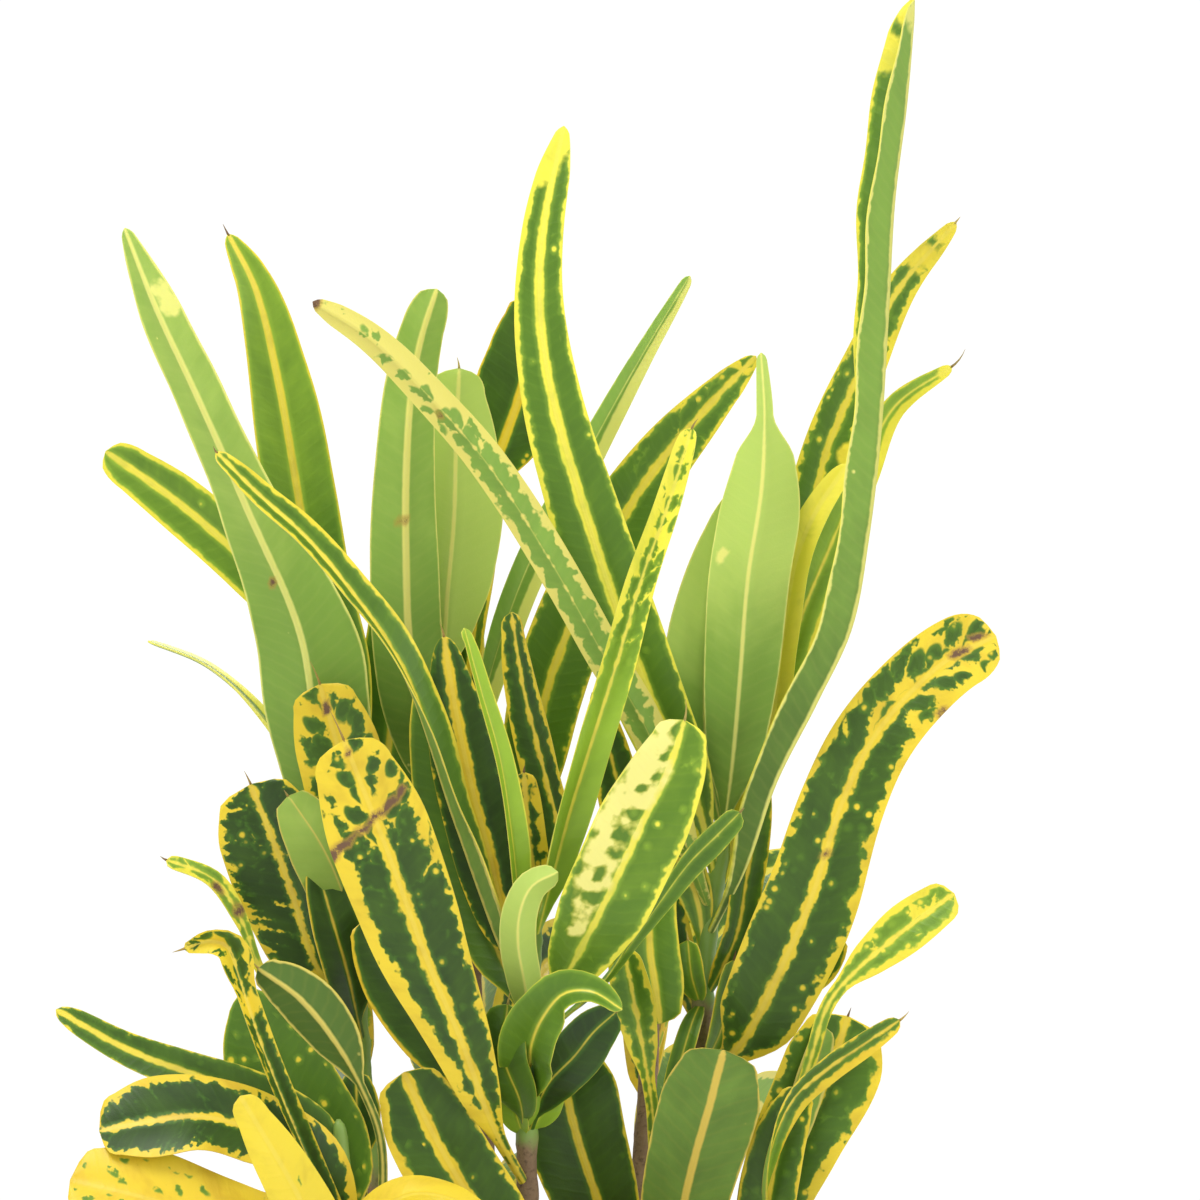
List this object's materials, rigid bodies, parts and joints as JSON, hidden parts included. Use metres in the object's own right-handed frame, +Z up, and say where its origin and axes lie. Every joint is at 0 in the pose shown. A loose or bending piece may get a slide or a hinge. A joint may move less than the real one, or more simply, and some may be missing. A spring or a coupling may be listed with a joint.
{
  "type": "potted croton",
  "caption": "Leafy croton with narrow strap leaves, green with yellow midribs, edges and spots, growing as several stems in a plain round pot.",
  "frame": {"origin": "centre of the pot's underside, on the surface that the pot stands on", "axes": "+Z up along the stems, -Y the side that the picture shows, +X to the right of that side"},
  "size_m": [0.2387, 0.2354, 0.4899],
  "materials": {
    "pot": "matte unglazed",
    "soil": "rough and granular",
    "foliage": "glossy leaf surface"
  },
  "bodies": {
    "root": {"pot": "pot", "soil": "soil", "shoot_left": "foliage", "shoot_left_low": "foliage", "shoot_centre": "foliage", "shoot_back": "foliage", "shoot_right": "foliage", "shoot_right_low": "foliage", "shoot_rear": "foliage"}
  },
  "joints": []
}
